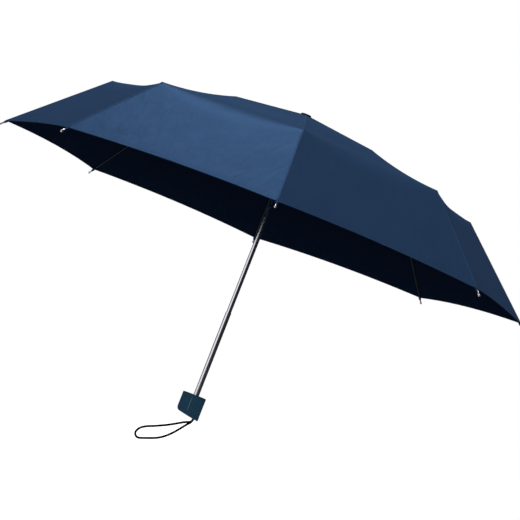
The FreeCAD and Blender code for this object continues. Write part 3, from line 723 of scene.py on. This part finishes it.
def rib_line(k, band, share):
    """A point of the cloth over rib k, at a share of one section, with the middle one bowed."""
    along = rib_direction(k, band)
    down = Vector((along.x, along.y, 0)).normalized().cross(along).cross(along).normalized()
    sag = cloth_bow * 4 * share * (1 - share) if band == 1 else 0.0
    down *= -1 if down.z > 0 else 1
    return rib_point(k, band).lerp(rib_point(k, band + 1), share) + down * sag


def seam_strip(name, k, band):
    along = rib_direction(k, band)
    a, b = in_sheet(k, -1, band), in_sheet(k, 1, band)
    over_a, over_b = a.cross(along).normalized(), b.cross(along).normalized()
    over_a *= 1 if over_a.z > 0 else -1
    over_b *= 1 if over_b.z > 0 else -1
    up = (over_a + over_b).normalized()
    # from the foot on one gore, over the rounded back, to the foot on the other
    section = [a * 2.1 - over_a * 0.1, a * 1.9 + over_a * 0.22, a * 0.8 + over_a * 0.36,
               up * 0.5, b * 0.8 + over_b * 0.36, b * 1.9 + over_b * 0.22,
               b * 2.1 - over_b * 0.1, up * -0.12]
    points = [rib_line(k, band, i / welt_steps) + p * MM
              for i in range(welt_steps + 1) for p in section]
    n = len(section)
    piece = closed_piece(name, points, tube_faces(welt_steps, n), seam_cloth_painted_highlight)
    layer = piece.data.uv_layers.new(name="UVMap")
    for polygon in piece.data.polygons:
        for loop, corner in zip(polygon.loop_indices, polygon.vertices):
            layer.data[loop].uv = ((corner % n) * 0.8 * MM,
                                   rib_length * band / 3 + (corner // n) * 7 * MM)
    rows = [[rib_line(k, band, f / row_points) + (d * row_at + o * row_lift) * MM
             for f in range(row_points + 1)] for d, o in ((a, over_a), (b, over_b))]
    return piece, rows


for k in range(gores):
    for band, body in enumerate(body_names):
        welt, rows = seam_strip(f"seam_{body[:-4]}_{k + 1}", k, band)
        thread_rows = sewn(f"seam_stitches_{body[:-4]}_{k + 1}", rows)
        for piece in (welt, thread_rows):
            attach(piece, f"{body}_{k + 1}")
        cloth_sheet(welt_width * runs[band][0], 0.011)
print("seams", 3 * gores)

# %% [markdown]
# At each corner of the canopy a small sewn pocket slips over the end of the rib, and a
# bright tip with a ball end stands out of it. Both are turned shapes about the rib's own
# line, so one profile spun round that line makes each of them.

# %% Corner pockets and tips
nickel, tree = new_material("nickel_tip")
where = add(tree, "ShaderNodeTexCoord", output=3)
fine = noise(tree, where, 1500.0)
finish_surface(tree, {"Metallic": 1.0},
               Base_Color=mix_colour(tree, fine, (0.80, 0.80, 0.79, 1), (0.90, 0.90, 0.89, 1)),
               Roughness=0.22 + fine * 0.08, Normal=bump(tree, fine, 0.01 * MM))
# the wire runs just under the cloth's corner and ends a little past it
under_cloth, past_corner = (1.37, 1.52), 2.29
outer_slope = runs[2][1]
wire_end = (rings[3][0] - under_cloth[0] + past_corner * math.cos(outer_slope),
            rings[3][1] - under_cloth[1] - past_corner * math.sin(outer_slope))


def turned(name, k, profile, material, flatten=1.0, steps=20):
    """Spins a profile of (distance past the wire's end, radius) in mm about outer rib k."""
    along = rib_direction(k, 2)
    side = Vector((-math.sin(rib_angle(k)), math.cos(rib_angle(k)), 0))
    up = side.cross(along)
    up *= 1 if up.z > 0 else -1
    centre = Vector((axis_x + wire_end[0] * MM * math.cos(rib_angle(k)),
                     wire_end[0] * MM * math.sin(rib_angle(k)), wire_end[1] * MM))
    angles = [2 * math.pi * i / steps for i in range(steps)]
    circle = [(math.cos(angle), math.sin(angle)) for angle in angles]
    points, rows = [], []
    for u, radius in profile:
        hoop = circle if radius else [(0, 0)]
        rows.append([len(points) + i % len(hoop) for i in range(steps + 1)])
        points += [centre + (along * u + side * radius * c + up * radius * flatten * q) * MM
                   for c, q in hoop]
    faces = [list(dict.fromkeys((a[i], a[i + 1], b[i + 1], b[i])))
             for a, b in zip(rows, rows[1:]) for i in range(steps)]
    piece = closed_piece(name, points, faces, material)
    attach(piece, f"outer_rib_{k + 1}")
    return piece


ball_at, ball_radius, stem_radius = 10, 2.08, 1.52
arc = [math.radians(degrees) for degrees in range(-45, 90, 15)]
ball = [(ball_at + ball_radius * math.sin(a), ball_radius * math.cos(a)) for a in arc]
tip_profile = ([(-1.0, 0), (-1.0, stem_radius), (7.6, stem_radius), (8.2, 1.6)] + ball
               + [(ball_at + ball_radius, 0)])
pocket_profile = [(-9.0, 1.5), (-9.0, 1.95), (-6.0, 2.3), (-1.0, 2.45), (1.2, 2.2), (1.8, 1.95),
                  (1.8, 1.55), (-6.0, 1.55), (-9.0, 1.5)]
for k in range(gores):
    turned(f"tip_{k + 1}", k, tip_profile, nickel)
    pocket = turned(f"corner_pocket_{k + 1}", k, pocket_profile, cloth_outside, flatten=0.9)
print("tips and pockets", 2 * gores)

# %% [markdown]
# Metals and plastics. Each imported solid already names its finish, so one material is
# made for each finish and given to every node that asks for it.

# %% Metals and plastics
def hard_material(name, dark, light, roughness, metallic, grain, scale, depth, specular=0.5):
    material, tree = new_material(name)
    where = add(tree, "ShaderNodeTexCoord", output=3)
    stretched = add(tree, "ShaderNodeMapping", {}, {"Vector": where, "Scale": grain})
    fine = noise(tree, stretched, scale, 2.0)
    cloudy = noise(tree, where, 60.0, 2.0)
    colour = mix_colour(tree, fine * 0.6 + cloudy * 0.4, (*dark, 1), (*light, 1))
    finish_surface(tree, {"Metallic": metallic, "Specular IOR Level": specular}, Base_Color=colour,
                   Roughness=roughness + fine * 0.08, Normal=bump(tree, fine, depth))
    return material


no_grain, drawn_grain, tube_grain = (1, 1, 1), (1, 1, 0.2), (1, 1, 0.1)
finishes = {
    "bright_tube": hard_material("plated_tube", (0.76, 0.77, 0.86), (0.86, 0.87, 0.96),
                                 0.12, 1.0, tube_grain, 900, 0.002 * MM),
    "spring_steel": hard_material("spring_steel", (0.40, 0.41, 0.43), (0.50, 0.51, 0.53),
                                  0.25, 1.0, drawn_grain, 700, 0.01 * MM),
    "dark_steel": hard_material("lacquered_steel", (0.118, 0.118, 0.122), (0.155, 0.155, 0.160),
                                0.38, 0.0, no_grain, 500, 0.01 * MM, 0.3),
    "bright_wire": hard_material("drawn_wire", (0.42, 0.43, 0.45), (0.55, 0.56, 0.58),
                                 0.22, 1.0, drawn_grain, 900, 0.006 * MM),
    "black_plastic": hard_material("moulded_plastic", (0.006, 0.007, 0.011), (0.009, 0.010, 0.014),
                                   0.5, 0.0, no_grain, 800, 0.01 * MM, 0.1),
    "handle_plastic": hard_material("grip_plastic", (0.026, 0.094, 0.172), (0.030, 0.106, 0.192),
                                    0.5, 0.0, no_grain, 400, 0.002 * MM, 0.08),
}


def cord_material():
    material, tree = new_material("braided_cord")
    where = add(tree, "ShaderNodeTexCoord", output=3)
    strands = add(tree, "ShaderNodeTexVoronoi", {}, {"Vector": where, "Scale": 900.0})
    cloudy = noise(tree, where, 120.0)
    colour = mix_colour(tree, strands * 0.7 + cloudy * 0.3, (0.006, 0.007, 0.014, 1),
                        (0.002, 0.003, 0.006, 1))
    finish_surface(tree, {"Metallic": 0.0, "Specular IOR Level": 0.08}, Base_Color=colour,
                   Roughness=0.7 + strands * 0.1, Normal=bump(tree, strands * -1, 0.25 * MM))
    return material


finishes["strap_cord"] = cord_material()
strap_curve.materials.append(finishes["strap_cord"])
slots = {m.name for o in nodes.values() for m in o.data.materials}
print("packed finishes", sorted(slots))

# %% [markdown]
# The grip is moulded in two halves, and where they met a fine raised line is left down
# its front, a little left of the middle. It is coloured paler than the grip, a painted
# highlight along the line. It is a thin closed rod that stands half out of the grip's wall.

# %% Mould line of the grip
grip_radius = 21.5
line_at, line_top, line_foot, line_sides = -3.0, 13.0, -13.0, 12
line_across, line_out, rounded = 0.7, 0.35, 0.6
front = -math.sqrt(grip_radius ** 2 - line_at ** 2)
points = []
for z, size in ((line_top, 0.2), (line_top - rounded, 1.0),
                (line_foot + rounded, 1.0), (line_foot, 0.2)):
    for i in range(line_sides):
        angle = 2 * math.pi * i / line_sides
        points.append(Vector((line_at + line_across * size * math.cos(angle),
                              front + line_out * size * math.sin(angle), z)) * MM)
# the line's paler blue is a painted highlight, not the grip's own colour
painted_highlight_plastic = hard_material("grip_mould_line_painted_highlight", (0.12, 0.25, 0.34), (0.14, 0.28, 0.38),
                             0.4, 0.0, no_grain, 400, 0.002 * MM, 0.2)
mould_line = closed_piece("grip_mould_line", points, tube_faces(3, line_sides), painted_highlight_plastic)
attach(mould_line, "handle")
print("mould line", len(mould_line.data.polygons), "faces")

# %% [markdown]
# The imported parts keep their shape and take the finish that their slot names. The two
# detent buttons sit on leaf springs, which on the real umbrella let each sink as the tubes
# slide into each other; here each is only given a mesh of its own.

# %% Finishes on the imported parts
for part in frame["record"]["subparts"]:
    if part["material_slot"] in finishes:
        mesh = nodes[part["node"]].data
        mesh.materials.clear()
        mesh.materials.append(finishes[part["material_slot"]])
# each button's joint, and how far (mm) the foot of its spring is from the shaft's axis
springs = (("lower_detent", "lower_slide", -2.98), ("upper_detent", "upper_slide", -2.38))
for name, joint, foot in springs:
    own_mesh(nodes[name])

# %% [markdown]
# The studio. Everything behind the umbrella is plain white to the eye, but it lights matt
# surfaces only a little, and less from the back than from the front. Shiny metal needs
# something dark to mirror or it looks like paper, so two dark flags stand in the world,
# to the right and behind, and only mirrors see them.

# %% Studio
world = bpy.data.worlds.new("studio")
world.use_nodes = True
bpy.context.scene.world = world
sky = world.node_tree
sky.nodes.clear()
rays = add(sky, "ShaderNodeLightPath")
seen = Term(sky, rays.socket.node.outputs["Is Camera Ray"])
mirrored = Term(sky, rays.socket.node.outputs["Is Glossy Ray"])
through = Term(sky, rays.socket.node.outputs["Is Transmission Ray"])
direction = add(sky, "ShaderNodeTexCoord", output=0)
rightward = add(sky, "ShaderNodeSeparateXYZ", {}, {0: direction})
backward = Term(sky, rightward.socket.node.outputs[1])
upward = Term(sky, rightward.socket.node.outputs[2])
# the flags have soft edges, and higher up the right one is narrower, the back one is wider
# and both are a little less dark
high = (upward * 5.0 - 0.6).at_least(0).at_most(1)
right_flag = rightward * 6.0 + 3.2 - high * 2.0
back_flag = backward * 3.0 + 0.5 + high
flag = right_flag.at_least(back_flag).at_least(0).at_most(1)
flag_darkness = 0.985 - high * 0.07
fill, less_behind = 0.52, 0.6
ahead = (1 - backward * less_behind) * fill
white = seen.at_least(through)
mirror_level = 1 - flag * flag_darkness
level_of = white + (1 - white) * (mirrored * mirror_level + (1 - mirrored) * ahead)
background = add(sky, "ShaderNodeBackground", {}, {"Color": (1, 1, 1, 1), "Strength": level_of})
end = sky.nodes.new("ShaderNodeOutputWorld")
sky.links.new(background.socket, end.inputs[0])
print("world", len(sky.nodes), "nodes")

# %% [markdown]
# One softbox overhead, back and to the left gives each gore its own tone: the gore that
# faces it is lit, and those beside it fall off step by step.

# %% Softbox
def softbox(name, place, towards, width, height, power):
    lamp = bpy.data.objects.new(name, bpy.data.lights.new(name, "AREA"))
    lamp.data.shape = "RECTANGLE"
    lamp.data.size, lamp.data.size_y = width, height
    lamp.data.energy = power
    lamp.location = place
    lamp.rotation_mode = "QUATERNION"
    lamp.rotation_quaternion = (Vector(towards) - Vector(place)).to_track_quat("-Z", "Y")
    bpy.context.scene.collection.objects.link(lamp)


canopy_middle = Vector((0, 0, 0.45))
softbox_distance = 3.0
softbox_place = canopy_middle + softbox_distance * Vector((-0.297, 0.283, 0.912))
softbox("overhead_softbox", softbox_place, canopy_middle, width=1.0, height=1.0, power=30)

# %% [markdown]
# The floor lies well below and keeps a soft shadow. It is white to the eye and grey to
# the umbrella, so that it throws back little light, and it can't be seen from below.

# %% Floor
floor_half, floor_height, floor_fade = 12.0, -0.6, 1.2
floor_mesh = bpy.data.meshes.new("studio_floor")
corners = [(-1, -1), (1, -1), (1, 1), (-1, 1)]
floor_mesh.from_pydata([(x * floor_half, y * floor_half, floor_height) for x, y in corners],
                       [], [(0, 1, 2, 3)])
floor = bpy.data.objects.new("studio_floor", floor_mesh)
bpy.context.scene.collection.objects.link(floor)
paper, tree = new_material("studio_paper")
rays = add(tree, "ShaderNodeLightPath")
seen = Term(tree, rays.socket.node.outputs["Is Camera Ray"])
mirrored = Term(tree, rays.socket.node.outputs["Is Glossy Ray"])
behind = Term(tree, add(tree, "ShaderNodeNewGeometry").socket.node.outputs["Backfacing"])
pale = mix_colour(tree, seen, (0.12, 0.12, 0.12, 1), (0.8, 0.8, 0.8, 1))
matt = add(tree, "ShaderNodeBsdfDiffuse", {}, {"Color": pale})
spot = add(tree, "ShaderNodeTexCoord", output=3)
away = add(tree, "ShaderNodeVectorMath", {"operation": "LENGTH"}, {0: spot}, output=1)
far = ((away - floor_fade) / floor_fade).at_least(0).at_most(1)
rightness = (add(tree, "ShaderNodeSeparateXYZ", {}, {0: spot}) * 0.8 + 0.5).at_least(0).at_most(1)
# to the eye it gets whiter far out, and in a mirror it gets darker to the right
glow = add(tree, "ShaderNodeEmission", {}, {"Color": (1, 1, 1, 1),
           "Strength": seen * (far * 0.4 + 0.6) + mirrored * (0.5 - rightness * 0.5)})
lit = add(tree, "ShaderNodeAddShader", {}, {0: matt, 1: glow})
clear = add(tree, "ShaderNodeBsdfTransparent")
sided = add(tree, "ShaderNodeMixShader", {}, {0: behind, 1: lit, 2: clear})
end = tree.nodes.new("ShaderNodeOutputMaterial")
tree.links.new(sided.socket, end.inputs["Surface"])
floor_mesh.materials.append(paper)
bpy.context.scene.view_settings.view_transform = "Standard"
print("floor", 2 * floor_half, "metres across")
